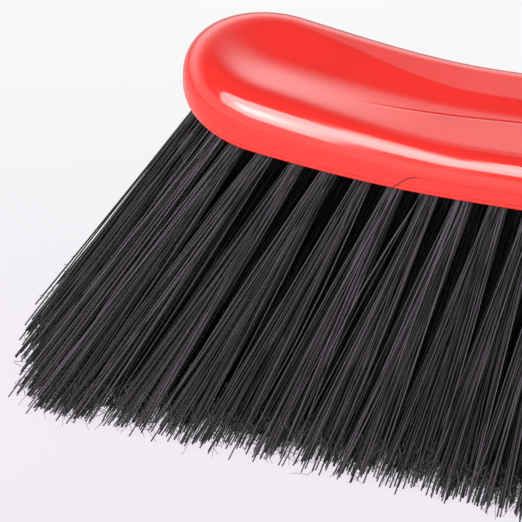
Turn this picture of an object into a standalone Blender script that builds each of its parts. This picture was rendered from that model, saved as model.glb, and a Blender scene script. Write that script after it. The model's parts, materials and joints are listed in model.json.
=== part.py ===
"""Angled floor broom: a moulded head with tufted bristle, and a handle that screws into it.

Metres, +Z up. X runs along the head, with the long bristle at -X, and Y runs across it. The bristle
tips are cut flat at Z = 0, where the broom stands. The head is drawn in its own frame, whose origin
is the middle of its underside, and an empty tilts it over the floor.
"""
import math

import bmesh
import bpy
from mathutils import Matrix, Vector

# Head outline, seen from above
HEAD_LENGTH = 0.2716
LOBE_HALF_WIDTH = 0.0267
WAIST_HALF_WIDTH = 0.0263
WAIST_END = 0.052
LOBE_START = 0.1177
SOCKET_SWELL = 0.0030
SOCKET_SWELL_REACH = 0.019

# Head section. The lip's rounding is (inset, height), in chamfers
LOBE_RIM_HEIGHT = 0.01475
WAIST_RIM_HEIGHT = 0.01195
RIM_RADIUS = 0.0081
LIP_CHAMFER = 0.0009
LIP_ROUNDING = ((2.0, 0.0), (1.0, 0.25), (0.33, 1.0))
LIP_HEIGHT = 0.0028
END_LIFT = 0.0059
END_LIFT_REACH = 0.081
ARCH_HEIGHT = 0.0044
ARCH_REACH = 0.0475

# Scoop in the top: a bowl in the lobe, and from there to the socket a channel nearer the front.
# Its section is (1 - share ** power) ** softness, where share runs from its middle to its edge
BOWL_START = 0.112
BOWL_REACH = 0.0168
BOWL_DEPTH = 0.0022
BOWL_POWER = 2.0
BOWL_SOFTNESS = 1.8
CHANNEL_END = 0.055
CHANNEL_BACK_REACH = 0.0070
CHANNEL_FRONT_REACH = 0.0170
CHANNEL_DEPTH = 0.0009
CHANNEL_FRONT_POWER = 1.3
CHANNEL_SOFTNESS = 1.1

# How the head stands over the floor
HEAD_TILT = math.radians(2.45)
UNDERSIDE_HEIGHT = 0.0937

# Handle socket, moulded in one with the head. Its bore and outside follow the thread
HANDLE_LEAN = math.radians(10.0)
SOCKET_WALL = 0.0037
SOCKET_BASE_HEIGHT = 0.006
SOCKET_RIM = 0.044
SOCKET_BORE_FLOOR = 0.0140
SOCKET_ROUND = 0.0012
FLARE_LENGTH = 0.052
FLARE_HALF_WIDTH = 0.0172
FLARE_HEIGHT = 0.012

# Tufts
TUFT_PITCH = 0.0090
TUFT_ROW_INSETS = (0.0046, 0.0134)
STRANDS_PER_TUFT = 3
STRAND_SPACING = 0.0015
STRAND_RADIUS = 0.00075
STRAND_TIP_RADIUS = 0.00055
STRIP_HALF_WIDTH = 0.0018
STRIP_THICKNESS = 0.0020
FAN_PER_METRE = math.radians(272.0)
FAN_REACH = 0.112
SIDE_FLARE_PER_METRE = math.radians(420.0)

# Handle. The thread's flank and root land are shares of its pitch, its nose of the root radius
TUBE_RADIUS = 0.0110
TUBE_WALL = 0.0006
TUBE_LENGTH = 1.180
THREAD_PITCH = 0.00508
THREAD_RADIUS = 0.0095
THREAD_DEPTH = 0.0017
THREAD_FLANK = 0.17
THREAD_ROOT_LAND = 0.289
THREAD_NOSE = 0.8
THREAD_END_CLEARANCE = 0.0030
THREAD_SIDE_CLEARANCE = 0.0004
PLUG_LENGTH = 0.030
HANG_CAP_LENGTH = 0.040
HANG_CAP_OVERHANG = 0.0008
HANG_CAP_CROWN = 0.010
HANG_TONGUE_THICKNESS = 0.0090
HANG_TONGUE_START = 0.012
HANG_SHOULDER_SLOPE = math.radians(35.0)
HANG_HOLE_RADIUS = 0.0045
HANG_HOLE_FROM_END = 0.013

# Clearance between pieces that seat on or in each other
GAP = 0.0003

# Steps and sides of the round shapes, and how far from rim to socket the top's rings stand
ARC_STEPS = 14
SIDE_STEPS = 34
RIM_STEPS = 5
CROWN_STEPS = 6
TUBE_SIDES = 32
THREAD_SIDES = 16
THREAD_STEPS_PER_PITCH = 6
HOLE_SIDES = 24
TOP_RING_SHARES = (0.12, 0.25, 0.38, 0.52, 0.68, 0.84, 1.0)

# Colours
RED = (0.80, 0.045, 0.035)
BRISTLE_BLACK = (0.02, 0.02, 0.022)
COAT_BLACK = (0.03, 0.03, 0.03)
PLASTIC_BLACK = (0.025, 0.025, 0.025)

LOBE_CENTRE = HEAD_LENGTH / 2 - LOBE_HALF_WIDTH
SOCKET_BORE_RADIUS = THREAD_RADIUS + THREAD_SIDE_CLEARANCE
SOCKET_RADIUS = SOCKET_BORE_RADIUS + SOCKET_WALL
HANG_CAP_RADIUS = TUBE_RADIUS + HANG_CAP_OVERHANG
SOCKET_LEAN = HANDLE_LEAN - HEAD_TILT
HEAD_FRAME = Matrix.Translation((0, 0, UNDERSIDE_HEIGHT)) @ Matrix.Rotation(HEAD_TILT, 4, 'Y')
SOCKET_FRAME = (Matrix.Translation((0, 0, ARCH_HEIGHT + SOCKET_BASE_HEIGHT))
                @ Matrix.Rotation(SOCKET_LEAN, 4, 'Y'))
HANDLE_FRAME = HEAD_FRAME @ SOCKET_FRAME


def smoothstep(value):
    t = min(max(value, 0.0), 1.0)
    return t * t * (3 - 2 * t)


def quarter_turn(steps):
    """Angles from 0 to 90 degrees, in radians."""
    return [math.pi / 2 * i / steps for i in range(steps + 1)]


def half_width(x):
    """Half the head's width at a distance x along it, away from its round ends."""
    lobe = smoothstep((abs(x) - WAIST_END) / (LOBE_START - WAIST_END))
    swell = SOCKET_SWELL * math.exp(-(x / SOCKET_SWELL_REACH) ** 2)
    return WAIST_HALF_WIDTH + (LOBE_HALF_WIDTH - WAIST_HALF_WIDTH) * lobe + swell


def underside(x):
    """Height of the underside at x: it curves up at the ends and arches over the middle."""
    start = HEAD_LENGTH / 2 - END_LIFT_REACH
    t = max((abs(x) - start) / END_LIFT_REACH, 0.0)
    return END_LIFT * t * t + ARCH_HEIGHT * math.exp(-(x / ARCH_REACH) ** 2)


def rim_height(x):
    lobe = smoothstep((abs(x) - WAIST_END) / (LOBE_START - WAIST_END))
    return WAIST_RIM_HEIGHT + (LOBE_RIM_HEIGHT - WAIST_RIM_HEIGHT) * lobe


def scoop(x, y):
    """How far the top dips at a point inside the rim."""
    bowl = smoothstep((abs(x) - CHANNEL_END) / (BOWL_START - CHANNEL_END))

    def blend(channel_value, bowl_value):
        return channel_value + (bowl_value - channel_value) * bowl

    reach = blend(CHANNEL_BACK_REACH if y > 0 else CHANNEL_FRONT_REACH, BOWL_REACH)
    power = blend(BOWL_POWER if y > 0 else CHANNEL_FRONT_POWER, BOWL_POWER)
    share = math.hypot(max(abs(x) - LOBE_CENTRE, 0.0), y) / reach
    dip = max(1 - share ** power, 0.0) ** blend(CHANNEL_SOFTNESS, BOWL_SOFTNESS)
    return blend(CHANNEL_DEPTH, BOWL_DEPTH) * dip


def top_height(x, y):
    """Height of the scooped top, inside the rounded rim."""
    return rim_height(x) + underside(x) - scoop(x, y)


def outline(inset):
    """Points round the head, inset from its edge: left end, front, right end, back."""
    radius = LOBE_HALF_WIDTH - inset
    points = []
    for i in range(ARC_STEPS):
        angle = math.pi / 2 + math.pi * i / ARC_STEPS
        points.append((-LOBE_CENTRE + radius * math.cos(angle), radius * math.sin(angle)))
    for i in range(SIDE_STEPS):
        x = LOBE_CENTRE * (2 * i / SIDE_STEPS - 1)
        points.append((x, inset - half_width(x)))
    for i in range(ARC_STEPS):
        angle = -math.pi / 2 + math.pi * i / ARC_STEPS
        points.append((LOBE_CENTRE + radius * math.cos(angle), radius * math.sin(angle)))
    for i in range(SIDE_STEPS):
        x = LOBE_CENTRE * (1 - 2 * i / SIDE_STEPS)
        points.append((x, half_width(x) - inset))
    return points


def outline_angles():
    """The angle round the socket that each outline point runs to."""
    points = outline(0.0)
    steps = [math.dist(a, b) for a, b in zip(points, points[1:] + points[:1])]
    whole = sum(steps)
    end_share = sum(steps[:ARC_STEPS]) / whole
    angles = []
    run = 0.0
    for step in steps:
        angles.append(math.pi * (1 - end_share) + 2 * math.pi * run / whole)
        run += step
    return angles


def mesh_object(name, bm, parent=None):
    bmesh.ops.remove_doubles(bm, verts=bm.verts, dist=1e-6)
    bmesh.ops.recalc_face_normals(bm, faces=bm.faces)
    mesh = bpy.data.meshes.new(name)
    bm.to_mesh(mesh)
    bm.free()
    obj = bpy.data.objects.new(name, mesh)
    obj.parent = parent
    return obj


def loft(rings, cyclic=False):
    """A skin through rings of points, closed at both ends unless it runs round to its start."""
    bm = bmesh.new()
    rows = [[bm.verts.new(point) for point in ring] for ring in rings]
    pairs = list(zip(rows, rows[1:]))
    if cyclic:
        pairs.append((rows[-1], rows[0]))
    for low, high in pairs:
        for i in range(len(low)):
            j = (i + 1) % len(low)
            bm.faces.new((low[i], low[j], high[j], high[i]))
    if not cyclic:
        bm.faces.new(rows[0][::-1])
        bm.faces.new(rows[-1])
    return bm


def make_material(name, colour, roughness, metallic=0.0):
    material = bpy.data.materials.new(name)
    material.use_nodes = True
    shader = material.node_tree.nodes["Principled BSDF"]
    shader.inputs["Base Color"].default_value = (*colour, 1.0)
    shader.inputs["Roughness"].default_value = roughness
    shader.inputs["Metallic"].default_value = metallic
    return material


def finish(obj, collection, material, sharp_angle=35.0):
    collection.objects.link(obj)
    obj.data.materials.append(material)
    obj.data.shade_smooth()
    obj.data.set_sharp_from_angle(angle=math.radians(sharp_angle))
    return obj


def cut(obj, cutter, cutters):
    """Take a cutter's shape out of a piece, and keep the cutter out of the model."""
    cutters.objects.link(cutter)
    cutter.display_type = 'WIRE'
    cutter.hide_render = True
    modifier = obj.modifiers.new("Cut " + cutter.name, 'BOOLEAN')
    modifier.operation = 'DIFFERENCE'
    modifier.solver = 'EXACT'
    modifier.object = cutter


def head_rings():
    """Rings of the head, from the middle of its underside over the rim to the socket's bore."""
    rings = []

    def level(inset, height, points=None):
        ring = points if points is not None else outline(inset)
        rings.append([(x, y, underside(x) + height(x)) for x, y in ring])

    middle = [(x, 0.0) for x, y in outline(LOBE_HALF_WIDTH)]
    level(0.0, lambda x: 0.0, middle)
    for inset, height in LIP_ROUNDING:
        level(inset * LIP_CHAMFER, lambda x, height=height: height * LIP_CHAMFER)
    level(0.0, lambda x: LIP_HEIGHT)
    for turn in quarter_turn(RIM_STEPS):
        inset = RIM_RADIUS * (1 - math.cos(turn))
        drop = RIM_RADIUS * (1 - math.sin(turn))
        level(inset, lambda x, drop=drop: rim_height(x) - drop)

    crest = outline(RIM_RADIUS)
    angles = outline_angles()
    flare_foot = [(FLARE_LENGTH * math.cos(a), FLARE_HALF_WIDTH * math.sin(a)) for a in angles]
    for share in TOP_RING_SHARES:
        ring = []
        for (x0, y0), (x1, y1) in zip(crest, flare_foot):
            x = x0 + (x1 - x0) * share
            y = y0 + (y1 - y0) * share
            ring.append((x, y, top_height(x, y)))
        rings.append(ring)

    foot = [Vector(point) for point in rings[-1]]
    collar = [SOCKET_FRAME @ Vector((SOCKET_RADIUS * math.cos(a), SOCKET_RADIUS * math.sin(a),
                                     FLARE_HEIGHT)) for a in angles]
    for turn in quarter_turn(RIM_STEPS)[1:]:
        ring = []
        for low, high in zip(foot, collar):
            point = low.lerp(high, math.sin(turn))
            point.z = low.z + (high.z - low.z) * (1 - math.cos(turn))
            ring.append(tuple(point))
        rings.append(ring)

    def collar_ring(radius, height):
        rings.append([tuple(SOCKET_FRAME @ Vector((radius * math.cos(a), radius * math.sin(a),
                                                   height))) for a in angles])

    collar_ring(SOCKET_RADIUS, SOCKET_RIM - SOCKET_ROUND)
    collar_ring(SOCKET_RADIUS - SOCKET_ROUND, SOCKET_RIM)
    collar_ring(SOCKET_BORE_RADIUS, SOCKET_RIM)
    collar_ring(SOCKET_BORE_RADIUS, SOCKET_BORE_FLOOR)
    return rings


def row_reach(row):
    """How far from the middle of the head the last tuft of a row's straight side stands.

    The tufts of the first row stand half a pitch off the middle, and those of the second row
    between them.
    """
    offset = 0.5 if row == 0 else 0.0
    return (math.floor(LOBE_CENTRE / TUFT_PITCH - offset) + offset) * TUFT_PITCH


def end_length(row):
    """Length of a row round one end, from the last tuft in front to the last one behind."""
    return math.pi * (LOBE_HALF_WIDTH - TUFT_ROW_INSETS[row]) + 2 * (LOBE_CENTRE - row_reach(row))


def row_point(row, side, run):
    """A point on a row, and the way out from it. side is front, back, left or right.

    Along the front and back, run is the place along X, and past the lobe's centre it bends with
    the end. Round an end, it is the way gone from the last tuft in front.
    """
    inset = TUFT_ROW_INSETS[row]
    radius = LOBE_HALF_WIDTH - inset
    if side in ("front", "back"):
        sign = -1 if side == "front" else 1
        past = abs(run) - LOBE_CENTRE
        if past <= 0:
            return run, sign * (half_width(run) - inset), (0.0, sign)
        angle = past / radius
        way = (math.copysign(math.sin(angle), run), sign * math.cos(angle))
        return math.copysign(LOBE_CENTRE, run) + radius * way[0], radius * way[1], way
    sign = -1 if side == "left" else 1
    run -= LOBE_CENTRE - row_reach(row)
    angle = min(max(run / radius, 0.0), math.pi) - math.pi / 2
    straight = min(run, 0.0) - max(run - math.pi * radius, 0.0)
    return (sign * (LOBE_CENTRE + radius * math.cos(angle) + straight), radius * math.sin(angle),
            (sign * math.cos(angle), math.sin(angle)))


def row_tufts(row, side):
    """Places of a strip's tufts along its row."""
    reach = row_reach(row)
    if side in ("front", "back"):
        count = round(2 * reach / TUFT_PITCH)
        return [-reach + i * TUFT_PITCH for i in range(count + 1)]
    count = round(end_length(row) / TUFT_PITCH)
    return [end_length(row) * i / count for i in range(1, count)]


def row_stations(row, side):
    """Points along a strip: at each tuft, halfway between them round an end, and at its ends."""
    tufts = row_tufts(row, side)
    spacing = end_length(row) / round(end_length(row) / TUFT_PITCH)
    beyond = spacing / 2 - GAP / 2
    runs = [tufts[0] - beyond] + tufts + [tufts[-1] + beyond]
    if side in ("left", "right"):
        runs += [(a + b) / 2 for a, b in zip(tufts, tufts[1:])]
    return [row_point(row, side, run) for run in sorted(runs)]


def centre_tufts():
    count = 2 * math.floor(LOBE_CENTRE / TUFT_PITCH + 0.5)
    reach = (count - 1) / 2 * TUFT_PITCH
    return [-reach + i * TUFT_PITCH for i in range(count)]


def centre_stations(beyond):
    tufts = centre_tufts()
    runs = [tufts[0] - beyond] + tufts + [tufts[-1] + beyond]
    return [(run, 0.0, (0.0, 1.0)) for run in runs]


def strip_rings(stations, margin, below):
    """Sections of a bar along the stations that follows the head's underside."""
    rings = []
    half = STRIP_HALF_WIDTH + margin
    top = STRIP_THICKNESS + margin
    for x, y, normal in stations:
        ring = []
        for across, up in ((-half, -below), (half, -below), (half, top), (-half, top)):
            place = x + normal[0] * across
            ring.append((place, y + normal[1] * across, underside(place) + up))
        rings.append(ring)
    return rings


def strand_direction(x, y):
    """Way a strand leaves the head, in the head's frame: fanned along it, flared across it."""
    lean = FAN_PER_METRE * math.copysign(min(abs(x), FAN_REACH), x)
    flare = SIDE_FLARE_PER_METRE * y
    world = Vector((math.tan(lean), math.tan(flare), -1.0)).normalized()
    return HEAD_FRAME.to_3x3().inverted() @ world


def add_strand(bm, x, y):
    """One three-sided strand from inside its strip down to the floor, cut level there."""
    root = Vector((x, y, underside(x) + STRIP_THICKNESS / 2))
    direction = strand_direction(x, y)
    world_root = HEAD_FRAME @ root
    world_way = HEAD_FRAME.to_3x3() @ direction
    tip = world_root + world_way * (-world_root.z / world_way.z)
    to_head = HEAD_FRAME.inverted()
    top = []
    bottom = []
    for i in range(3):
        angle = 2 * math.pi * i / 3 + math.pi / 2
        spread = Vector((math.cos(angle), math.sin(angle), 0.0))
        top.append(bm.verts.new(root + spread * STRAND_RADIUS))
        bottom.append(bm.verts.new(to_head @ (tip + spread * STRAND_TIP_RADIUS)))
    for i in range(3):
        j = (i + 1) % 3
        bm.faces.new((top[i], top[j], bottom[j], bottom[i]))
    bm.faces.new(top[::-1])
    bm.faces.new(bottom)


def add_tufts(bm, places):
    for x, y, normal in places:
        along = Vector((-normal[1], normal[0]))
        for i in range(STRANDS_PER_TUFT):
            step = (i - (STRANDS_PER_TUFT - 1) / 2) * STRAND_SPACING
            add_strand(bm, x + along.x * step, y + along.y * step)


def make_tuft_strip(name, stations, tufts, head, collection, cutters, material):
    """A strip of the head's underside with its strands fused to it."""
    strip = mesh_object(name, loft(strip_rings(stations, 0.0, 0.0)), head)
    bm = bmesh.new()
    add_tufts(bm, tufts)
    strands = mesh_object(name + "_strands", bm, head)
    cutters.objects.link(strands)
    strands.display_type = 'WIRE'
    strands.hide_render = True
    union = strip.modifiers.new("Strands", 'BOOLEAN')
    union.operation = 'UNION'
    union.solver = 'EXACT'
    union.object = strands
    finish(strip, collection, material)
    strip.data.shade_flat()


def make_head(collection, cutters, red, black):
    head = bpy.data.objects.new("head_frame", None)
    collection.objects.link(head)
    head.matrix_world = HEAD_FRAME

    block = mesh_object("head_block", loft(head_rings()), head)
    finish(block, collection, red)

    for row, name in enumerate(("outer", "inner")):
        loop = []
        for side in ("left", "back", "right", "front"):
            stations = row_stations(row, side)
            tufts = [row_point(row, side, run) for run in row_tufts(row, side)]
            make_tuft_strip(f"{name}_tufts_{side}", stations, tufts, head, collection, cutters, black)
            loop += stations if side in ("left", "back") else stations[::-1]
        groove = mesh_object(f"{name}_groove", loft(strip_rings(loop, GAP, GAP), cyclic=True), head)
        cut(block, groove, cutters)
    tufts = [(run, 0.0, (0.0, 1.0)) for run in centre_tufts()]
    stations = centre_stations(TUFT_PITCH / 2)
    make_tuft_strip("centre_tufts", stations, tufts, head, collection, cutters, black)
    stations = centre_stations(TUFT_PITCH / 2 + GAP)
    groove = mesh_object("centre_groove", loft(strip_rings(stations, GAP, GAP)), head)
    cut(block, groove, cutters)


def turned(name, profile, parent):
    """A solid turned about its Z axis from a profile that runs down its outer side."""
    mesh = bpy.data.meshes.new(name)
    edges = [(i, i + 1) for i in range(len(profile) - 1)]
    mesh.from_pydata([(radius, 0.0, height) for radius, height in profile], edges, [])
    obj = bpy.data.objects.new(name, mesh)
    obj.parent = parent
    screw = obj.modifiers.new("Turn", 'SCREW')
    screw.steps = TUBE_SIDES
    screw.render_steps = TUBE_SIDES
    screw.use_merge_vertices = True
    screw.merge_threshold = 0.00001
    return obj


def make_tube(handle, collection, material):
    foot = SOCKET_RIM + GAP
    top = foot + TUBE_LENGTH
    inner = TUBE_RADIUS - TUBE_WALL
    profile = [(inner, top), (TUBE_RADIUS, top), (TUBE_RADIUS, foot), (inner, foot), (inner, top)]
    finish(turned("handle_tube", profile, handle), collection, material)


def thread_radius(turns):
    """Radius of the thread at a place in its pitch: root, flank, crest, flank."""
    from_root = 0.5 - abs(turns % 1.0 - 0.5)
    rise = min(max((from_root - THREAD_ROOT_LAND / 2) / THREAD_FLANK, 0.0), 1.0)
    return THREAD_RADIUS - THREAD_DEPTH * (1 - rise)


def make_thread_tip(handle, collection, material):
    """The threaded plug: a helical ridge round its lower end, and a plug inside the tube."""
    start = SOCKET_BORE_FLOOR + THREAD_END_CLEARANCE
    stop = SOCKET_RIM - GAP
    count = round((stop - start) / THREAD_PITCH * THREAD_STEPS_PER_PITCH)
    plug = TUBE_RADIUS - TUBE_WALL - GAP
    root = THREAD_RADIUS - THREAD_DEPTH
    heights = [start + (stop - start) * i / count for i in range(count + 1)]
    rings = [[(THREAD_NOSE * root, start - GAP)] * THREAD_SIDES]
    for height in heights:
        fade = smoothstep(min(height - start, stop - height) / (THREAD_PITCH / 2))
        ring = []
        for i in range(THREAD_SIDES):
            turns = height / THREAD_PITCH - i / THREAD_SIDES
            ring.append((root + (thread_radius(turns) - root) * fade, height))
        rings.append(ring)
    foot = SOCKET_RIM + 2 * GAP
    for end in ((root, foot), (plug, foot), (plug, foot + PLUG_LENGTH)):
        rings.append([end] * THREAD_SIDES)
    points = []
    for ring in rings:
        row = []
        for i, (radius, height) in enumerate(ring):
            angle = 2 * math.pi * i / THREAD_SIDES
            row.append((radius * math.cos(angle), radius * math.sin(angle), height))
        points.append(row)
    finish(mesh_object("thread_tip", loft(points), handle), collection, material)


def make_hang_cap(handle, collection, cutters, material):
    """The plug and cap at the handle's top end, flattened to a tongue with a hole through it.

    The shoulders below the tongue slope down and outwards.
    """
    seat = SOCKET_RIM + GAP + TUBE_LENGTH
    plug = TUBE_RADIUS - TUBE_WALL - GAP
    low = seat - PLUG_LENGTH
    top = seat + GAP + HANG_CAP_LENGTH
    profile = []
    for turn in quarter_turn(CROWN_STEPS):
        drop = HANG_CAP_CROWN * (1 - math.cos(turn))
        profile.append((HANG_CAP_RADIUS * math.sin(turn), top - drop))
    profile += [(HANG_CAP_RADIUS, seat + GAP), (plug, seat + GAP), (plug, low), (0.0, low)]
    cap = turned("hang_cap", profile, handle)
    finish(cap, collection, material)

    depth = HANG_CAP_RADIUS
    length = HANG_CAP_LENGTH
    through = 4 * HANG_CAP_RADIUS
    for sign, side in ((-1, "front"), (1, "back")):
        bm = bmesh.new()
        bmesh.ops.create_cube(bm, size=1.0)
        scale = Matrix.Diagonal((through, depth, length, 1.0))
        place = Vector((0.0, sign * (HANG_TONGUE_THICKNESS / 2 + depth / 2),
                        seat + GAP + HANG_TONGUE_START + length / 2))
        bmesh.ops.transform(bm, matrix=Matrix.Translation(place) @ scale, verts=bm.verts)
        for vertex in bm.verts:
            if vertex.co.z < place.z and abs(vertex.co.y) > abs(place.y):
                vertex.co.z -= depth * math.tan(HANG_SHOULDER_SLOPE)
        cut(cap, mesh_object(f"tongue_{side}", bm, handle), cutters)
    bm = bmesh.new()
    bmesh.ops.create_cone(bm, cap_ends=True, segments=HOLE_SIDES, radius1=HANG_HOLE_RADIUS,
                          radius2=HANG_HOLE_RADIUS, depth=through)
    turn = Matrix.Rotation(math.radians(90), 4, 'X')
    place = Matrix.Translation((0.0, 0.0, top - HANG_HOLE_FROM_END))
    bmesh.ops.transform(bm, matrix=place @ turn, verts=bm.verts)
    cut(cap, mesh_object("hang_hole", bm, handle), cutters)


def make_handle(collection, cutters, coat, plastic):
    handle = bpy.data.objects.new("handle_frame", None)
    collection.objects.link(handle)
    handle.matrix_world = HANDLE_FRAME
    make_tube(handle, collection, coat)
    make_thread_tip(handle, collection, plastic)
    make_hang_cap(handle, collection, cutters, plastic)


def stand_over_origin(collection):
    """Move the broom along X until the origin is below the middle of its box."""
    bpy.context.view_layer.update()
    depsgraph = bpy.context.evaluated_depsgraph_get()
    low = Vector((math.inf, math.inf, math.inf))
    high = -low
    for obj in collection.objects:
        if obj.type != 'MESH':
            continue
        shape = obj.evaluated_get(depsgraph)
        for vertex in shape.data.vertices:
            point = obj.matrix_world @ vertex.co
            low = Vector(map(min, low, point))
            high = Vector(map(max, high, point))
    shift = Matrix.Translation((-(low.x + high.x) / 2, -(low.y + high.y) / 2, 0.0))
    for obj in collection.objects:
        if obj.parent is None:
            obj.matrix_world = shift @ obj.matrix_world


def main():
    for obj in list(bpy.data.objects):
        bpy.data.objects.remove(obj)
    collection = bpy.data.collections.new("angled_broom")
    cutters = bpy.data.collections.new("cutters")
    bpy.context.scene.collection.children.link(collection)
    bpy.context.scene.collection.children.link(cutters)
    red = make_material("red_plastic", RED, 0.25)
    black = make_material("black_bristle", BRISTLE_BLACK, 0.5)
    coat = make_material("coated_tube", COAT_BLACK, 0.35)
    plastic = make_material("black_plastic", PLASTIC_BLACK, 0.4)
    make_head(collection, cutters, red, black)
    make_handle(collection, cutters, coat, plastic)
    stand_over_origin(collection)


main()
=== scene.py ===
"""Angled floor broom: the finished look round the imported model.

A gloss red moulded head, black bristle set in tufts that fan out to the floor, and a black tube
handle that screws into the head. Everything is in metres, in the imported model's frame.
"""

import json
import math

import bmesh
import bpy
from bpy.props import FloatProperty, FloatVectorProperty, IntProperty, PointerProperty
from mathutils import Matrix, Vector


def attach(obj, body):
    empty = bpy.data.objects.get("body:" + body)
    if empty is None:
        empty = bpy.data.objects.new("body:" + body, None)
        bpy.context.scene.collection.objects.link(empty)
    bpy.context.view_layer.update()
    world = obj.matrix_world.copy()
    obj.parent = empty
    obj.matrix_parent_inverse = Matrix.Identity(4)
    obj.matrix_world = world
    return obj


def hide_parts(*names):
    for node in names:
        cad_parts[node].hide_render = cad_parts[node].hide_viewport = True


bl_info = {
    "name": "Angled Broom",
    "version": (1, 0, 0),
    "blender": (4, 5, 0),
    "location": "3D Viewport > Sidebar > Broom",
    "description": "Builds the head, bristle and handle of an angled floor broom",
    "category": "Add Mesh",
}

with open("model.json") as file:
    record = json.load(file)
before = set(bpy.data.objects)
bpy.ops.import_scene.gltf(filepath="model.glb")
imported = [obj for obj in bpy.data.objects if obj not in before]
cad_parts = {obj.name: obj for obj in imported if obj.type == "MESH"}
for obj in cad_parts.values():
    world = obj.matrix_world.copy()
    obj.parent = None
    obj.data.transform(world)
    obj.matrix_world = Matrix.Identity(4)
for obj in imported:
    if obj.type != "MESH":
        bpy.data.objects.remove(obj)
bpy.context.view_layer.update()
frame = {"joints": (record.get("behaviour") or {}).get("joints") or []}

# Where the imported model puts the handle: its foot, and the way it leans
TURN_JOINT = next(joint for joint in frame["joints"] if joint["name"] == "handle_turn")
HANDLE_FOOT = Vector(TURN_JOINT["pos_m"])
HANDLE_AXIS = Vector(TURN_JOINT["axis"]).normalized()

MILLIMETRE = 0.001
REFRACTION = 1.5


def length(name, description, default):
    """A size in metres."""
    return FloatProperty(name=name, description=description, default=default, unit='LENGTH',
                         precision=5)


def angle(name, description, degrees):
    return FloatProperty(name=name, description=description, default=math.radians(degrees),
                         unit='ROTATION')


def place(name, description, default):
    return FloatVectorProperty(name=name, description=description, default=default, size=3,
                               subtype='TRANSLATION', unit='LENGTH', precision=4)


def number(name, description, default):
    return FloatProperty(name=name, description=description, default=default)


def colour(name, description, default):
    return FloatVectorProperty(name=name, description=description, default=default,
                               subtype='COLOR', size=3, min=0.0, max=1.0)


class HeadSettings(bpy.types.PropertyGroup):
    """Sizes and colour of the moulded head."""
    head_length: length("Length", "Length of the head over its round ends", 0.2716)
    lobe_half_width: length("Lobe half width", "Half the head's width at its ends", 0.0267)
    waist_half_width: length("Waist half width", "Half the width between lobe and socket", 0.0263)
    waist_end: length("Waist end", "Distance from the middle where the waist ends", 0.052)
    lobe_start: length("Lobe start", "Distance from the middle where the lobe starts", 0.1177)
    socket_swell: length("Socket swell", "Extra half width beside the socket", 0.0030)
    socket_swell_reach: length("Swell reach", "How far along the head the swell runs", 0.019)
    lobe_rim_height: length("Lobe rim height", "Height of the rim at the ends", 0.01475)
    waist_rim_height: length("Waist rim height", "Height of the rim at the middle", 0.01195)
    lobe_rim_radius: length("Lobe rim radius", "Rounding of the rim at the ends", 0.0093)
    waist_rim_radius: length("Waist rim radius", "Rounding of the rim at the middle", 0.0079)
    lip_height: length("Lip height", "Height of the widest line over the underside", 0.0028)
    lip_bead: length("Lip bead", "How far the moulding line round the lip stands out", 0.00007)
    bowl_start: length("Bowl start", "Distance from the middle where the lobe's bowl is full", 0.112)
    bowl_reach: length("Bowl reach", "Half the width of the bowl in the lobe", 0.0168)
    bowl_depth: length("Bowl depth", "Depth of the bowl in the lobe", 0.0022)
    bowl_softness: number("Bowl softness", "How gently the bowl's edge runs out", 1.8)
    channel_end: length("Channel end", "Distance from the middle where the channel is narrowest", 0.055)
    channel_back_reach: length("Channel back reach", "Reach of the channel's back flank", 0.0080)
    channel_front_reach: length("Channel front reach", "Reach of its front flank", 0.0170)
    channel_depth: length("Channel depth", "Depth of the channel by the socket", 0.0009)
    channel_front_power: number("Channel front", "How straight the channel's front flank is", 1.3)
    channel_softness: number("Channel softness", "How gently the channel's edge runs out", 1.1)
    channel_back_softness: number("Back softness", "The same for its back flank", 1.5)
    end_lift: length("End lift", "How far the ends curve up", 0.0059)
    end_lift_reach: length("End lift reach", "Length of the part that curves up", 0.081)
    arch_height: length("Arch height", "How far the underside arches over its middle", 0.0044)
    arch_reach: length("Arch reach", "How far along the head the arch runs", 0.0475)
    tilt: angle("Tilt", "How far the head tips over the floor", 2.45)
    socket_base: length("Socket base", "Height of the socket's foot over the underside", 0.006)
    socket_radius: length("Socket radius", "Outside radius of the handle socket", 0.0136)
    socket_rim: length("Socket rim", "Distance of the rim from the handle's foot", 0.044)
    socket_bore: length("Socket bore", "Radius of the socket's bore", 0.0099)
    socket_floor: length("Bore floor", "Distance of the bore's floor from the foot", 0.014)
    socket_round: length("Socket rounding", "Rounding of the socket's rim", 0.0012)
    flare_length: length("Flare length", "Reach of the socket's foot along the head", 0.0415)
    flare_half_width: length("Flare half width", "Reach of the socket's foot across it", 0.0172)
    flare_height: length("Flare height", "Height at which the flare meets the socket", 0.012)
    top_seam_start: length("Top seam start", "Distance of the top seam's end", 0.0862)
    top_seam_straight: length("Top seam bend", "Distance where the top seam bends", 0.040)
    top_seam_offset: length("Top seam offset", "Offset of its straight part to the front", 0.0022)
    top_seam_stray: length("Top seam stray", "How much further its end strays to the front", 0.0060)
    top_seam_depth: length("Top seam depth", "Depth of the top seam", 0.00016)
    wall_seam_start: length("Wall seam start", "Distance where the wall seam rises", 0.0696)
    wall_seam_rise: length("Wall seam rise", "Length along which the wall seam rises", 0.0064)
    wall_seam_height: length("Wall seam height", "Height of the wall seam", 0.0054)
    red: colour("Red", "Colour of the head's plastic", (0.87, 0.030, 0.024))


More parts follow.
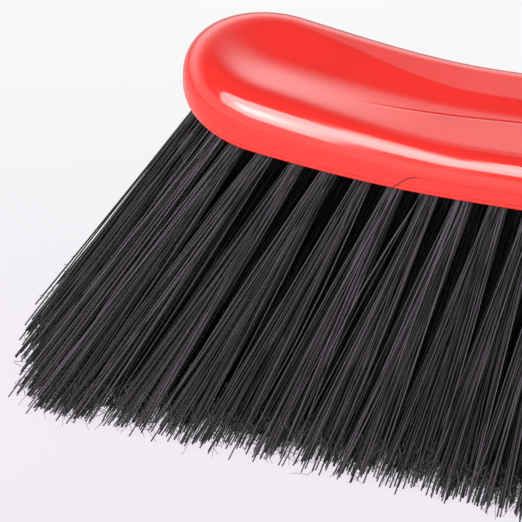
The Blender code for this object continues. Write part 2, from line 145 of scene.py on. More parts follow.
class BristleSettings(bpy.types.PropertyGroup):
    """Sizes, counts and colours of the bristle."""
    pitch: length("Tuft pitch", "Distance between tufts in a row", 0.0090)
    outer_inset: length("Outer row inset", "Distance of the outer row from the edge", 0.0046)
    inner_inset: length("Inner row inset", "Distance of the inner row from the edge", 0.0134)
    end_inset: length("End inset", "How much farther in the outer row stands at the ends", 0.0072)
    strands: IntProperty(name="Strands", description="Strands in a tuft", default=90, min=1)
    root_radius: length("Root radius", "Radius of a tuft where it leaves the head", 0.0023)
    tip_radius: length("Tip radius", "Reach of a tuft each way at the floor", 0.0080)
    crossing: number("Crossing", "How freely the strands of a tuft cross, from 0 to 1", 0.75)
    strand_radius: length("Strand radius", "Radius of a strand", 0.00028)
    fan_per_metre: angle("Fan", "Lean along the head for each metre from its middle", 272.0)
    fan_reach: length("Fan reach", "Distance beyond which the lean stays the same", 0.106)
    flare_per_metre: angle("Flare", "Lean across the head for each metre from its middle", 350.0)
    sink: length("Sink", "How far the strands start inside the head", 0.003)
    bow: length("Bow", "How far a strand bends from straight", 0.0009)
    jitter: length("Jitter", "How far a tip strays from its place", 0.0018)
    trim: length("Trim", "How unevenly the tips are cut", 0.0028)
    hair_length: length("Hair length", "Length of the fine curled hairs at the tips", 0.0080)
    hairs: IntProperty(name="Hairs", description="Fine hairs on a strand's end", default=2, min=1)
    hair_spread: length("Hair spread", "How far a fine hair curls aside", 0.0026)
    black: colour("Black", "Colour of the darkest strands", (0.007, 0.006, 0.008))
    light: colour("Light strands", "Colour of the palest strands", (0.110, 0.095, 0.112))
    hair_grey: colour("Hair grey", "Colour of the fine hairs", (0.054, 0.048, 0.054))


class HandleSettings(bpy.types.PropertyGroup):
    """Sizes and colours of the handle."""
    tube_radius: length("Tube radius", "Outside radius of the tube", 0.0110)
    tube_wall: length("Tube wall", "Wall of the tube", 0.0006)
    tube_length: length("Tube length", "Length of the tube", 1.180)
    thread_pitch: length("Thread pitch", "Rise of the thread in a turn", 0.00508)
    thread_radius: length("Thread radius", "Radius of the thread's crest", 0.0095)
    thread_depth: length("Thread depth", "Depth of the thread", 0.0017)
    thread_flank: number("Thread flank", "Share of the pitch that one flank takes", 0.17)
    thread_root_land: number("Thread root", "Share of the pitch that the flat root takes", 0.289)
    thread_clearance: length("Thread clearance", "Gap under the thread's end", 0.0030)
    plug_length: length("Plug length", "Length of a plug inside the tube", 0.030)
    cap_length: length("Cap length", "Length of the hang cap", 0.040)
    cap_radius: length("Cap radius", "Radius of the hang cap", 0.0118)
    tongue_thickness: length("Tongue thickness", "Thickness of the cap's tongue", 0.0090)
    tongue_start: length("Tongue start", "Height of the tongue's shoulder", 0.012)
    shoulder_slope: angle("Shoulder slope", "How far the tongue's shoulders slope down", 35.0)
    hole_radius: length("Hole radius", "Radius of the hanging hole", 0.0045)
    hole_from_end: length("Hole from end", "Distance of the hole from the top", 0.013)
    gap: length("Gap", "Clearance between the pieces", 0.0003)
    tube_colour: colour("Tube colour", "Colour of the tube's coat", (0.022, 0.022, 0.024))
    plastic_colour: colour("Plastic colour", "Colour of the tip and cap", (0.018, 0.018, 0.019))


class StageSettings(bpy.types.PropertyGroup):
    """Camera, lamps and floor."""
    azimuth: angle("Azimuth", "Turn of the camera round the broom", 17.38)
    elevation: angle("Elevation", "Height of the camera over the horizon", 39.0)
    camera_offset: place("Camera offset", "Place of the camera from below the head's middle",
                         (0.0242, -0.4413, 0.4164))
    field_of_view: angle("Field of view", "Angle that the picture's side covers", 14.87)
    # The floor takes this darker, tinted colour in front of the broom and near it: painted shade.
    floor_shade_colour: colour("Floor", "Colour of the floor near the camera", (0.90, 0.855, 0.925))
    backdrop_colour: colour("Backdrop", "Colour of the floor further back", (1.0, 0.995, 1.0))


def mesh_object(name, bm):
    """A new object that holds bm's mesh, with its doubles merged and its faces outwards."""
    bmesh.ops.remove_doubles(bm, verts=bm.verts, dist=1e-6)
    bmesh.ops.recalc_face_normals(bm, faces=bm.faces)
    mesh = bpy.data.meshes.new(name)
    bm.to_mesh(mesh)
    bm.free()
    obj = bpy.data.objects.new(name, mesh)
    bpy.context.scene.collection.objects.link(obj)
    return obj


def loft(rings, closed=False):
    """A skin through rings of points. It is capped at both ends, or it runs on from the last
    ring to the first where closed is true."""
    bm = bmesh.new()
    rows = [[bm.verts.new(point) for point in ring] for ring in rings]
    for low, high in zip(rows, rows[1:] + (rows[:1] if closed else [])):
        for i in range(len(low)):
            j = (i + 1) % len(low)
            bm.faces.new((low[i], low[j], high[j], high[i]))
    if not closed:
        bm.faces.new(rows[0][::-1])
        bm.faces.new(rows[-1])
    return bm


def circle(radii, height):
    """Evenly spaced points round Z at a height, each at its own radius."""
    sides = len(radii)
    return [(radius * math.cos(2 * math.pi * i / sides),
             radius * math.sin(2 * math.pi * i / sides), height)
            for i, radius in enumerate(radii)]


def quarter_turn(steps):
    """Angles from 0 to 90 degrees."""
    return [math.radians(90 * i / steps) for i in range(steps + 1)]


def plain_mesh(obj, name):
    """obj as its modifiers show it, as one plain mesh at the origin. obj itself is removed."""
    bpy.context.view_layer.update()
    depsgraph = bpy.context.evaluated_depsgraph_get()
    mesh = bpy.data.meshes.new_from_object(obj.evaluated_get(depsgraph), depsgraph=depsgraph)
    mesh.transform(obj.matrix_world)
    mesh.name = name
    made = bpy.data.objects.new(name, mesh)
    bpy.context.scene.collection.objects.link(made)
    bpy.data.objects.remove(obj)
    return made


def smooth(obj, degrees=32.0):
    obj.data.shade_smooth()
    obj.data.set_sharp_from_angle(angle=math.radians(degrees))


def settle(obj, material, body, slot, *nodes):
    """Give a finished piece its material, its body and the nodes it stands for. The slot is not used.
    """
    if material is not None:
        obj.data.materials.clear()
        obj.data.materials.append(material)
    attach(obj, body)
    if nodes:
        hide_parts(*nodes)


def smoothstep(value):
    t = min(max(value, 0.0), 1.0)
    return t * t * (3 - 2 * t)


class Wire:
    """A node's output that other nodes read. Arithmetic on it adds math nodes to the tree."""

    def __init__(self, nodes, socket, vector=False):
        self.nodes = nodes
        self.socket = socket
        self.vector = vector

    def __add__(self, other):
        return self.nodes.math('ADD', self, other)

    def __sub__(self, other):
        return self.nodes.math('SUBTRACT', self, other)

    def __rsub__(self, other):
        return self.nodes.math('SUBTRACT', other, self)

    def __mul__(self, other):
        if self.vector:
            return self.nodes.wire("ShaderNodeVectorMath", {0: self, "Scale": other}, vector=True,
                                   operation='SCALE')
        return self.nodes.math('MULTIPLY', self, other)

    def __truediv__(self, other):
        return self.nodes.math('DIVIDE', self, other)

    def __pow__(self, other):
        return self.nodes.math('POWER', self, other)

    def __abs__(self):
        return self.nodes.math('ABSOLUTE', self)


class Nodes:
    """Adds nodes to a tree. An input is a plain value, a wire or another node's socket."""

    # First value's input and the output of a Mix node, for each type of value
    MIX_SOCKETS = {'FLOAT': (2, 0), 'VECTOR': (4, 1), 'RGBA': (6, 2)}

    def __init__(self, tree):
        self.tree = tree
        tree.nodes.clear()

    def feed(self, node, inputs):
        for key, value in inputs.items():
            value = value.socket if isinstance(value, Wire) else value
            if isinstance(value, bpy.types.NodeSocket):
                self.tree.links.new(value, node.inputs[key])
            else:
                node.inputs[key].default_value = value

    def add(self, kind, inputs=None, **settings):
        node = self.tree.nodes.new(kind)
        for name, value in settings.items():
            setattr(node, name, value)
        self.feed(node, inputs or {})
        return node

    def wire(self, kind, inputs=None, output=0, vector=False, **settings):
        """Add a node, for one of its outputs."""
        return Wire(self, self.add(kind, inputs, **settings).outputs[output], vector)

    def math(self, operation, *values):
        """A math node, or a vector math node where the first value is a vector."""
        vector = isinstance(values[0], Wire) and values[0].vector
        return self.wire("ShaderNodeVectorMath" if vector else "ShaderNodeMath",
                         dict(enumerate(values)), vector=vector, operation=operation)

    def combine(self, x, y, z):
        return self.wire("ShaderNodeCombineXYZ", {0: x, 1: y, 2: z}, vector=True)

    def split(self, vector):
        """The vector's X, Y and Z."""
        return [Wire(self, output)
                for output in self.add("ShaderNodeSeparateXYZ", {0: vector}).outputs]

    def distance(self, a, b):
        return self.math('SQRT', a ** 2.0 + b ** 2.0)

    def random(self, low, high, seed):
        """A number from low to high for each point."""
        return self.wire("FunctionNodeRandomValue", {2: low, 3: high, "Seed": seed}, output=1)

    def mix(self, factor, a, b, kind='FLOAT'):
        first, output = self.MIX_SOCKETS[kind]
        return self.wire("ShaderNodeMix", {0: factor, first: a, first + 1: b}, output=output,
                         vector=kind == 'VECTOR', data_type=kind)

    def range(self, value, low, high, to_low=0.0, to_high=1.0, shape='SMOOTHSTEP'):
        """Turns the values from low to high into those from to_low to to_high."""
        return self.wire("ShaderNodeMapRange",
                         {0: value, 1: low, 2: high, 3: to_low, 4: to_high},
                         interpolation_type=shape)

    def noise(self, vector, scale, detail, roughness=0.5):
        return self.wire("ShaderNodeTexNoise", {"Vector": vector, "Scale": scale,
                                                "Detail": detail, "Roughness": roughness})

    def bump(self, height, strength=1.0, distance=1.0):
        return self.wire("ShaderNodeBump", {"Strength": strength, "Distance": distance,
                                            "Height": height})

    def object_place(self):
        return self.wire("ShaderNodeTexCoord", output="Object", vector=True)

    def attribute(self, name, vector=False):
        """The piece's own attribute, in a material."""
        return self.wire("ShaderNodeAttribute", output="Vector" if vector else "Fac",
                         vector=vector, attribute_name=name, attribute_type='GEOMETRY')

    def stored(self, name):
        """The vector that store kept under a name, in a geometry tree."""
        return self.wire("GeometryNodeInputNamedAttribute", {"Name": name}, vector=True,
                         data_type='FLOAT_VECTOR')

    def store(self, geometry, name, value):
        vector = isinstance(value, Wire) and value.vector
        return self.wire("GeometryNodeStoreNamedAttribute",
                         {"Geometry": geometry, "Name": name, "Value": value},
                         data_type='FLOAT_VECTOR' if vector else 'FLOAT')

    def surface(self, share, below, above):
        """Show two shaders, mixed by share."""
        mixed = self.wire("ShaderNodeMixShader", {0: share, 1: below, 2: above})
        self.add("ShaderNodeOutputMaterial", {"Surface": mixed})


def empty_material(name):
    material = bpy.data.materials.new(name)
    material.use_nodes = True
    return material, Nodes(material.node_tree)


def gloss_material(name, roughness):
    """A material with one Principled shader, whose constants are set on its own sockets."""
    material, nodes = empty_material(name)
    shader = nodes.add("ShaderNodeBsdfPrincipled", {"Roughness": roughness, "IOR": REFRACTION})
    nodes.add("ShaderNodeOutputMaterial", {"Surface": shader.outputs[0]})
    return material, nodes, shader


def rgba(values, share=1.0):
    """A colour for a socket, darker or paler by share."""
    return (*(min(value * share, 1.0) for value in values), 1.0)


# Head


class HeadShape:
    """Formulas of the head, in its own frame: the middle of its underside is the origin."""

    ARC_STEPS = 72
    SIDE_STEPS = 200
    RIM_STEPS = 24
    TOP_STEPS = 64
    FLARE_STEPS = 24
    SOCKET_STEPS = 8
    ROUND_STEPS = 6
    BOWL_POWER = 2.0

    # Rings of the underside, as shares of the lobe's half width in from the edge
    UNDERSIDE = (1.0, 0.6, 0.25)

    # Rounding of the lower edge: inset and height of each ring, in millimetres
    LOWER_EDGE = ((2.0, 0.0), (1.3, 0.0), (0.95, 0.06), (0.68, 0.22), (0.50, 0.48),
                  (0.38, 0.85), (0.30, 1.40))

    # Moulding line: how many beads each ring stands out, and its height in millimetres
    BEAD = ((0.0, 1.90), (1.0, 1.98), (1.2, 2.08), (1.0, 2.18), (0.0, 2.28))
    BEAD_INSET = 0.20
    BEAD_SLOPE = 0.25

    # Inset and height of the ring below the lip, in millimetres
    UNDER_LIP = (0.04, 2.55)

    def __init__(self, s):
        self.s = s
        self.lobe_centre = s.head_length / 2 - s.lobe_half_width
        tilt = Matrix.Rotation(s.tilt, 4, 'Y')
        foot = Vector((0, 0, s.arch_height + s.socket_base))
        self.frame = Matrix.Translation(HANDLE_FOOT - tilt @ foot) @ tilt
        lean = math.atan2(HANDLE_AXIS.x, HANDLE_AXIS.z) - s.tilt
        self.socket = Matrix.Translation(foot) @ Matrix.Rotation(lean, 4, 'Y')

    def lobe(self, x):
        s = self.s
        return smoothstep((abs(x) - s.waist_end) / (s.lobe_start - s.waist_end))

    def half_width(self, x):
        s = self.s
        swell = s.socket_swell * math.exp(-(x / s.socket_swell_reach) ** 2)
        return s.waist_half_width + (s.lobe_half_width - s.waist_half_width) * self.lobe(x) + swell

    def underside(self, x):
        """Height of the underside at x: it curves up at the ends and arches over the middle."""
        s = self.s
        start = s.head_length / 2 - s.end_lift_reach
        t = max((abs(x) - start) / s.end_lift_reach, 0.0)
        return s.end_lift * t * t + s.arch_height * math.exp(-(x / s.arch_reach) ** 2)

    def rim_height(self, x):
        s = self.s
        return s.waist_rim_height + (s.lobe_rim_height - s.waist_rim_height) * self.lobe(x)

    def rim_radius(self, x):
        s = self.s
        return s.waist_rim_radius + (s.lobe_rim_radius - s.waist_rim_radius) * self.lobe(x)

    def scoop(self, x, y):
        """How far the top dips at a point: a bowl in the lobe, then a channel to the socket."""
        s = self.s
        bowl = smoothstep((abs(x) - s.channel_end) / (s.bowl_start - s.channel_end))

        def blend(channel_value, bowl_value):
            return channel_value + (bowl_value - channel_value) * bowl

        back = y > 0
        reach = blend(s.channel_back_reach if back else s.channel_front_reach, s.bowl_reach)
        power = blend(self.BOWL_POWER if back else s.channel_front_power, self.BOWL_POWER)
        share = math.hypot(max(abs(x) - self.lobe_centre, 0.0), y) / reach
        softness = s.channel_back_softness if back else s.channel_softness
        dip = max(1 - share ** power, 0.0) ** blend(softness, s.bowl_softness)
        return blend(s.channel_depth, s.bowl_depth) * dip

    def top_height(self, x, y):
        return self.rim_height(x) + self.underside(x) - self.scoop(x, y)

    def outline(self, inset):
        """Points round the head, inset(x) from its edge: left end, front, right end, back."""
        radius = self.s.lobe_half_width - inset(self.lobe_centre)
        centre = self.lobe_centre
        arcs, sides = self.ARC_STEPS, self.SIDE_STEPS
        points = []
        for i in range(arcs):
            turn = math.pi / 2 + math.pi * i / arcs
            points.append((-centre + radius * math.cos(turn), radius * math.sin(turn)))
        for i in range(sides):
            x = centre * (2 * i / sides - 1)
            points.append((x, inset(x) - self.half_width(x)))
        for i in range(arcs):
            turn = -math.pi / 2 + math.pi * i / arcs
            points.append((centre + radius * math.cos(turn), radius * math.sin(turn)))
        for i in range(sides):
            x = centre * (1 - 2 * i / sides)
            points.append((x, self.half_width(x) - inset(x)))
        return points

    def outline_angles(self):
        """The angle round the socket that each outline point runs to."""
        points = self.outline(lambda x: 0.0)
        steps = [math.dist(a, b) for a, b in zip(points, points[1:] + points[:1])]
        whole = sum(steps)
        end_share = sum(steps[:self.ARC_STEPS]) / whole
        angles = []
        run = 0.0
        for step in steps:
            angles.append(math.pi * (1 - end_share) + 2 * math.pi * run / whole)
            run += step
        return angles

    def rings(self):
        """Rings of the skin, from the middle of the underside over the rim into the bore."""
        s = self.s
        rings = []

        def level(inset, height):
            rings.append([(x, y, self.underside(x) + height(x))
                          for x, y in self.outline(inset)])

        def flat_level(inset, height):
            level(lambda x: inset, lambda x: height)

        for share in self.UNDERSIDE:
            flat_level(share * s.lobe_half_width, 0.0)
        for inset, height in self.LOWER_EDGE:
            flat_level(inset * MILLIMETRE, height * MILLIMETRE)
        for out, height in self.BEAD:
            inset = self.BEAD_INSET - self.BEAD_SLOPE * (height - self.BEAD[0][1])
            flat_level(inset * MILLIMETRE - out * s.lip_bead, height * MILLIMETRE)
        inset, height = self.UNDER_LIP
        flat_level(inset * MILLIMETRE, height * MILLIMETRE)
        flat_level(0.0, s.lip_height)
        for turn in quarter_turn(self.RIM_STEPS):
            inward, down = 1 - math.cos(turn), 1 - math.sin(turn)
            level(lambda x: inward * self.rim_radius(x),
                  lambda x: self.rim_height(x) - down * self.rim_radius(x))

        crest = self.outline(self.rim_radius)
        angles = self.outline_angles()
        flare = [(s.flare_length * math.cos(a), s.flare_half_width * math.sin(a))
                 for a in angles]
        for i in range(1, self.TOP_STEPS + 1):
            share = i / self.TOP_STEPS
            row = []
            for (x0, y0), (x1, y1) in zip(crest, flare):
                x = x0 + (x1 - x0) * share
                y = y0 + (y1 - y0) * share
                row.append((x, y, self.top_height(x, y)))
            rings.append(row)

        def collar(radius, height):
            return [tuple(self.socket @ Vector((radius * math.cos(a), radius * math.sin(a),
                                                height))) for a in angles]

        foot = [Vector(point) for point in rings[-1]]
        top = [Vector(point) for point in collar(s.socket_radius, s.flare_height)]
        for turn in quarter_turn(self.FLARE_STEPS)[1:]:
            row = []
            for low, high in zip(foot, top):
                point = low.lerp(high, math.sin(turn))
                point.z = low.z + (high.z - low.z) * (1 - math.cos(turn))
                row.append(tuple(point))
            rings.append(row)

        straight = s.socket_rim - s.socket_round - s.flare_height
        for i in range(1, self.SOCKET_STEPS + 1):
            rings.append(collar(s.socket_radius, s.flare_height + straight * i / self.SOCKET_STEPS))
        for turn in quarter_turn(self.ROUND_STEPS)[1:]:
            rings.append(collar(s.socket_radius - s.socket_round * (1 - math.cos(turn)),
                                s.socket_rim - s.socket_round * (1 - math.sin(turn))))
        chamfer = s.socket_round / 2
        rings.append(collar(s.socket_bore + chamfer, s.socket_rim))
        rings.append(collar(s.socket_bore, s.socket_rim - chamfer))
        rings.append(collar(s.socket_bore, s.socket_floor))
        return rings


def wall_seam(nodes, s, along, height):
    """The seam on the wall: it rises from the lip, then runs level along the wall, fainter. Its mask
    makes both its groove and the painted shade in it.
    """
    core, edge = 0.00018, 0.00052
    rising_end, level_start, level_strength = 0.0045, 0.0085, 0.42
    soft_end = 0.0002
    lip_fade = (0.0001, 0.0003)
    start = s.wall_seam_start
    climb = nodes.range(along, start, start - s.wall_seam_rise, 0.0, math.pi / 2, 'LINEAR')
    gap = abs(height - nodes.math('SINE', climb) * s.wall_seam_height)
    seam = nodes.range(gap, core, edge, 1.0, 0.0)
    seam *= nodes.range(along, start - level_start, start - rising_end, level_strength, 1.0)
    seam *= nodes.range(along, start + soft_end, start - soft_end)
    return seam * nodes.range(height, *lip_fade)


def top_seam(nodes, s, along, across, height):
    """The seam on the top: a fine groove that strays to the front on its way to the lobe. Its mask
    makes both the groove and the painted shade in it.
    """
    bend_power = 1.4
    front_flank, back_flank = 0.0006, 0.0009
    end_fade = 0.024
    socket_fade = (0.030, 0.034)
    wall_fade = (0.0085, 0.0095)
    start = s.top_seam_start
    stray = nodes.range(along, s.top_seam_straight, start, shape='LINEAR') ** bend_power
    off = across - (-s.top_seam_offset - stray * s.top_seam_stray)
    seam = nodes.math('MINIMUM', nodes.range(off, -front_flank, 0.0, shape='LINEAR'),
                      nodes.range(off, 0.0, back_flank, 1.0, 0.0, 'LINEAR'))
    seam *= nodes.range(along, start, start - end_fade, shape='LINEAR')
    seam *= nodes.range(height, *wall_fade)
    return seam * nodes.range(along, *socket_fade)


def red_plastic(s):
    """Polished red plastic with faint flow marks and the mould's seams. The seams' grooves are also
    painted darker, as painted shade.
    """
    palest, darkest, wall_seam_shade, top_seam_shade = 1.03, 0.96, 0.25, 0.40
    wall_seam_shade_share, wall_depth, top_seam_shade_share = 0.80, 0.00012, 0.30
    dimple_depth, ripple_depth = 0.000002, 0.000010
    smear_gloss = (0.3, 0.75, 0.085, 0.15)
    material, nodes, shader = gloss_material("red_plastic", 0.11)
    place = nodes.attribute("place", vector=True)
    along, across = nodes.split(place)[:2]
    along = abs(along)
    height = nodes.attribute("height")
    on_wall = wall_seam(nodes, s, along, height)
    on_top = top_seam(nodes, s, along, across, height)

    cloud = nodes.range(nodes.noise(place, 34.0, 3.0), 0.35, 0.65)
    tone = nodes.mix(cloud, rgba(s.red, darkest), rgba(s.red, palest), 'RGBA')
    # The seams' masks darken the red here: painted shade in their grooves, on top of their real dip in
    # the relief.
    tone = nodes.mix(on_wall * wall_seam_shade_share, tone, rgba(s.red, wall_seam_shade), 'RGBA')
    tone = nodes.mix(on_top * top_seam_shade_share, tone, rgba(s.red, top_seam_shade), 'RGBA')
    smear = nodes.noise(place, 90.0, 4.0, 0.6)
    dimple = nodes.noise(place, 420.0, 2.0)
    ripple = nodes.noise(place, 60.0, 1.0)
    relief = dimple * dimple_depth + ripple * ripple_depth
    relief = relief - on_wall * wall_depth - on_top * s.top_seam_depth
    nodes.feed(shader, {"Base Color": tone,
                        "Roughness": nodes.range(smear, *smear_gloss, 'LINEAR'),
                        "Normal": nodes.bump(relief)})
    return material


class BROOM_OT_head(bpy.types.Operator):
    """Build the red moulded head with its socket"""
    bl_idname = "broom.head"
    bl_label = "Head"

    def execute(self, context):
        settings = context.scene.broom_head
        shape = HeadShape(settings)
        head = mesh_object("head_moulding", loft(shape.rings()))
        attributes = head.data.attributes
        attributes.new("place", 'FLOAT_VECTOR', 'POINT')
        attributes.new("height", 'FLOAT', 'POINT')
        for vertex, spot, rise in zip(head.data.vertices, attributes["place"].data,
                                      attributes["height"].data):
            spot.vector = vertex.co
            rise.value = vertex.co.z - shape.underside(vertex.co.x)
        head.data.transform(shape.frame)
        smooth(head, 40.0)
        settle(head, red_plastic(settings), "head", "head_plastic", "head_block")
        return {'FINISHED'}


# Bristle


class BristleRows:
    """Places of the tufts on the head's underside, in the head's own frame."""

    def __init__(self, head_shape, s):
        self.head = head_shape
        self.s = s

    def reach(self, row):
        """How far from the middle the last tuft of a row's straight side stands."""
        offset = 0.5 if row == 0 else 0.0
        return (math.floor(self.head.lobe_centre / self.s.pitch - offset) + offset) * self.s.pitch

    def inset(self, row):
        return self.s.outer_inset if row == 0 else self.s.inner_inset

    def side(self, row, sign):
        """Tufts along the front, where sign is -1, or the back."""
        reach = self.reach(row)
        count = round(2 * reach / self.s.pitch)
        places = [-reach + i * self.s.pitch for i in range(count + 1)]
        return [(x, sign * (self.head.half_width(x) - self.inset(row))) for x in places]

    def end(self, row, sign):
        """Tufts round the left end, where sign is -1, or the right one."""
        radius = self.head.s.lobe_half_width - self.inset(row)
        straight = self.head.lobe_centre - self.reach(row)
        squeeze = 1 - self.s.end_inset / (self.head.s.lobe_half_width - self.s.outer_inset)
        whole = math.pi * radius + 2 * straight
        count = round(whole / self.s.pitch)
        places = []
        for i in range(1, count):
            run = whole * i / count - straight
            turn = min(max(run / radius, 0.0), math.pi) - math.pi / 2
            before = min(run, 0.0) - max(run - math.pi * radius, 0.0)
            x = self.head.lobe_centre + squeeze * radius * math.cos(turn) + before
            places.append((sign * x, radius * math.sin(turn)))
        return places

    def centre(self):
        count = 2 * math.floor(self.head.lobe_centre / self.s.pitch + 0.5)
        reach = (count - 1) / 2 * self.s.pitch
        return [(-reach + i * self.s.pitch, 0.0) for i in range(count)]

    def groups(self):
        """Each packed strip of tufts, with the places of its tufts."""
        groups = {"centre_tufts": self.centre()}
        for row, name in enumerate(("outer", "inner")):
            groups[f"{name}_tufts_front"] = self.side(row, -1)
            groups[f"{name}_tufts_back"] = self.side(row, 1)
            groups[f"{name}_tufts_left"] = self.end(row, -1)
            groups[f"{name}_tufts_right"] = self.end(row, 1)
        return groups

    def tuft(self, x, y):
        """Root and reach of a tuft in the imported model's frame: where it starts, and the way
        from there to the middle of its tips on the floor."""
        s = self.s
        root = self.head.frame @ Vector((x, y, self.head.underside(x) + s.sink))
        lean = s.fan_per_metre * math.copysign(min(abs(x), s.fan_reach), x)
        flare = s.flare_per_metre * y
        way = Vector((math.tan(lean), math.tan(flare), -1.0))
        return root, way * root.z


# Sizes and counts that the bristle's tree takes, each named as its setting, with their types
BRISTLE_INPUTS = {"Strands": 'Int', "Root radius": 'Float', "Tip radius": 'Float',
                  "Crossing": 'Float', "Strand radius": 'Float', "Bow": 'Float',
                  "Jitter": 'Float', "Trim": 'Float', "Hair length": 'Float', "Hairs": 'Int',
                  "Hair spread": 'Float'}

# Each random draw's number, which is added to the seed. A spread takes the next number too
DRAWS = {"turn": 1, "out": 2, "jitter": 3, "stray": 5, "stray way": 6, "trim": 8, "bow": 9,
         "shade": 12, "crossing": 13, "hair way": 21, "hair drop": 23, "hair curl": 24,
         "fork": 26, "long hair": 27}

# The value of the attribute along on fine hairs. On strands it runs from 0 to 1
ON_HAIR = 2.0


def bristle_tree():
    """Strands that fan from points: each runs from its tuft's root to its place on the floor, and
    a few fine hairs curl off it near its tip."""
    tree = bpy.data.node_groups.new("Bristle", 'GeometryNodeTree')
    nodes = Nodes(tree)
    tree.interface.new_socket("Geometry", in_out='OUTPUT', socket_type='NodeSocketGeometry')
    for name, kind in {"Geometry": 'Geometry', **BRISTLE_INPUTS, "Seed": 'Int',
                       "Material": 'Material'}.items():
        tree.interface.new_socket(name, in_out='INPUT', socket_type='NodeSocket' + kind)
    given = {socket.name: Wire(nodes, socket) for socket in nodes.add("NodeGroupInput").outputs}

    def random(low, high, draw, further=0):
        """A number for each strand, which differs with the seed."""
        return nodes.random(low, high, given["Seed"] + float(DRAWS[draw] + further))

    def spread(draw):
        """A vector across the strands, up to 1 long each way."""
        return nodes.combine(random(-1.0, 1.0, draw), random(-1.0, 1.0, draw, 1), 0.0)

    def beyond(draw, share):
        """1 on the few strands whose draw is past the share, and 0 on the others."""
        return nodes.math('GREATER_THAN', random(0.0, 1.0, draw), share)

    tame_share, stray_bow, stray_reach = 0.965, 3.2, 2.2
    trim_power = 4.0
    copies = nodes.wire("GeometryNodeDuplicateElements",
                        {"Geometry": given["Geometry"], "Amount": given["Strands"]},
                        domain='POINT')
    turn = random(0.0, 2 * math.pi, "turn")
    out = nodes.math('SQRT', random(0.0, 1.0, "out"))
    disc = nodes.combine(nodes.math('COSINE', turn) * out, nodes.math('SINE', turn) * out, 0.0)
    centre = nodes.wire("GeometryNodeInputPosition", vector=True)
    crossed = nodes.mix(given["Crossing"], disc, spread("crossing"), 'VECTOR')
    stray = beyond("stray", tame_share)
    ragged = 1.0 - random(0.0, 1.0, "trim") ** trim_power
    tip = centre + nodes.stored("reach") + crossed * given["Tip radius"]
    tip += spread("jitter") * given["Jitter"]
    tip += spread("stray way") * (stray * (given["Jitter"] * stray_reach))
    tip += nodes.combine(0.0, 0.0, ragged * given["Trim"])
    points = nodes.store(copies, "start", centre + disc * given["Root radius"])
    points = nodes.store(points, "stop", tip)
    points = nodes.store(points, "bow",
                         spread("bow") * (given["Bow"] * (stray * stray_bow + 1.0)))
    points = nodes.store(points, "shade", random(0.0, 1.0, "shade"))
    start, stop, bow = nodes.stored("start"), nodes.stored("stop"), nodes.stored("bow")

    def on_strand(share):
        """A place on a strand, from 0 at its root to 1 at its tip."""
        arch = nodes.math('SINE', share * math.pi)
        return nodes.mix(share, start, stop, 'VECTOR') + bow * arch

    def tubes(points, count, place, radius, along):
        """A three-sided tube for each point, along the places that place gives."""
        line = nodes.wire("GeometryNodeCurvePrimitiveLine")
        line = nodes.wire("GeometryNodeResampleCurve", {"Curve": line, "Count": count})
        made = nodes.wire("GeometryNodeInstanceOnPoints", {"Points": points, "Instance": line})
        made = nodes.wire("GeometryNodeRealizeInstances", {"Geometry": made})
        made = nodes.store(made, "along", along)
        made = nodes.wire("GeometryNodeSetPosition", {"Geometry": made, "Position": place})
        profile = nodes.wire("GeometryNodeCurvePrimitiveCircle", {"Resolution": 3, "Radius": 1.0})
        return nodes.wire("GeometryNodeCurveToMesh",
                          {"Curve": made, "Profile Curve": profile, "Scale": radius,
                           "Fill Caps": True})

    strand_places, strand_taper = 6, 0.92
    factor = nodes.wire("GeometryNodeSplineParameter", output="Factor")
    taper = nodes.range(factor, 0.0, 1.0, 1.0, strand_taper, 'LINEAR')
    strands = tubes(points, strand_places, on_strand(factor), given["Strand radius"] * taper,
                    factor)

    first_fork, last_fork = 0.84, 0.96
    short_share, extra_length = 0.985, 1.4
    hair_places, hair_waves = 5, 1.35
    hair_root, hair_tip = 0.40, 0.24
    shortest_drop = 0.35
    far_below = -10.0
    hairs = nodes.wire("GeometryNodeDuplicateElements",
                       {"Geometry": points, "Amount": given["Hairs"]}, domain='POINT')
    fork = on_strand(random(first_fork, last_fork, "fork"))
    side = given["Hair spread"] * (beyond("long hair", short_share) * extra_length + 1.0)
    drop = given["Hair length"] * random(-1.0, -shortest_drop, "hair drop")
    end = fork + spread("hair way") * side + nodes.combine(0.0, 0.0, drop)
    end = nodes.math('MAXIMUM', end, nodes.combine(far_below, far_below,
                                                   given["Strand radius"]))
    hairs = nodes.store(hairs, "fork", fork)
    hairs = nodes.store(hairs, "end", end)
    hairs = nodes.store(hairs, "curl", spread("hair curl") * side)
    wave = nodes.math('SINE', factor * (hair_waves * math.pi))
    hair = (nodes.mix(factor, nodes.stored("fork"), nodes.stored("end"), 'VECTOR')
            + nodes.stored("curl") * wave)
    thin = nodes.range(factor, 0.0, 1.0, hair_root, hair_tip, 'LINEAR')
    curls = tubes(hairs, hair_places, hair, given["Strand radius"] * thin, ON_HAIR)

    joined = nodes.add("GeometryNodeJoinGeometry")
    nodes.feed(joined, {0: curls})
    nodes.feed(joined, {0: strands})
    made = nodes.wire("GeometryNodeSetShadeSmooth", {"Geometry": joined.outputs[0]})
    made = nodes.wire("GeometryNodeRealizeInstances", {"Geometry": made})
    made = nodes.wire("GeometryNodeSetMaterial",
                      {"Geometry": made, "Material": given["Material"]})
    nodes.add("NodeGroupOutput", {0: made})
    return tree


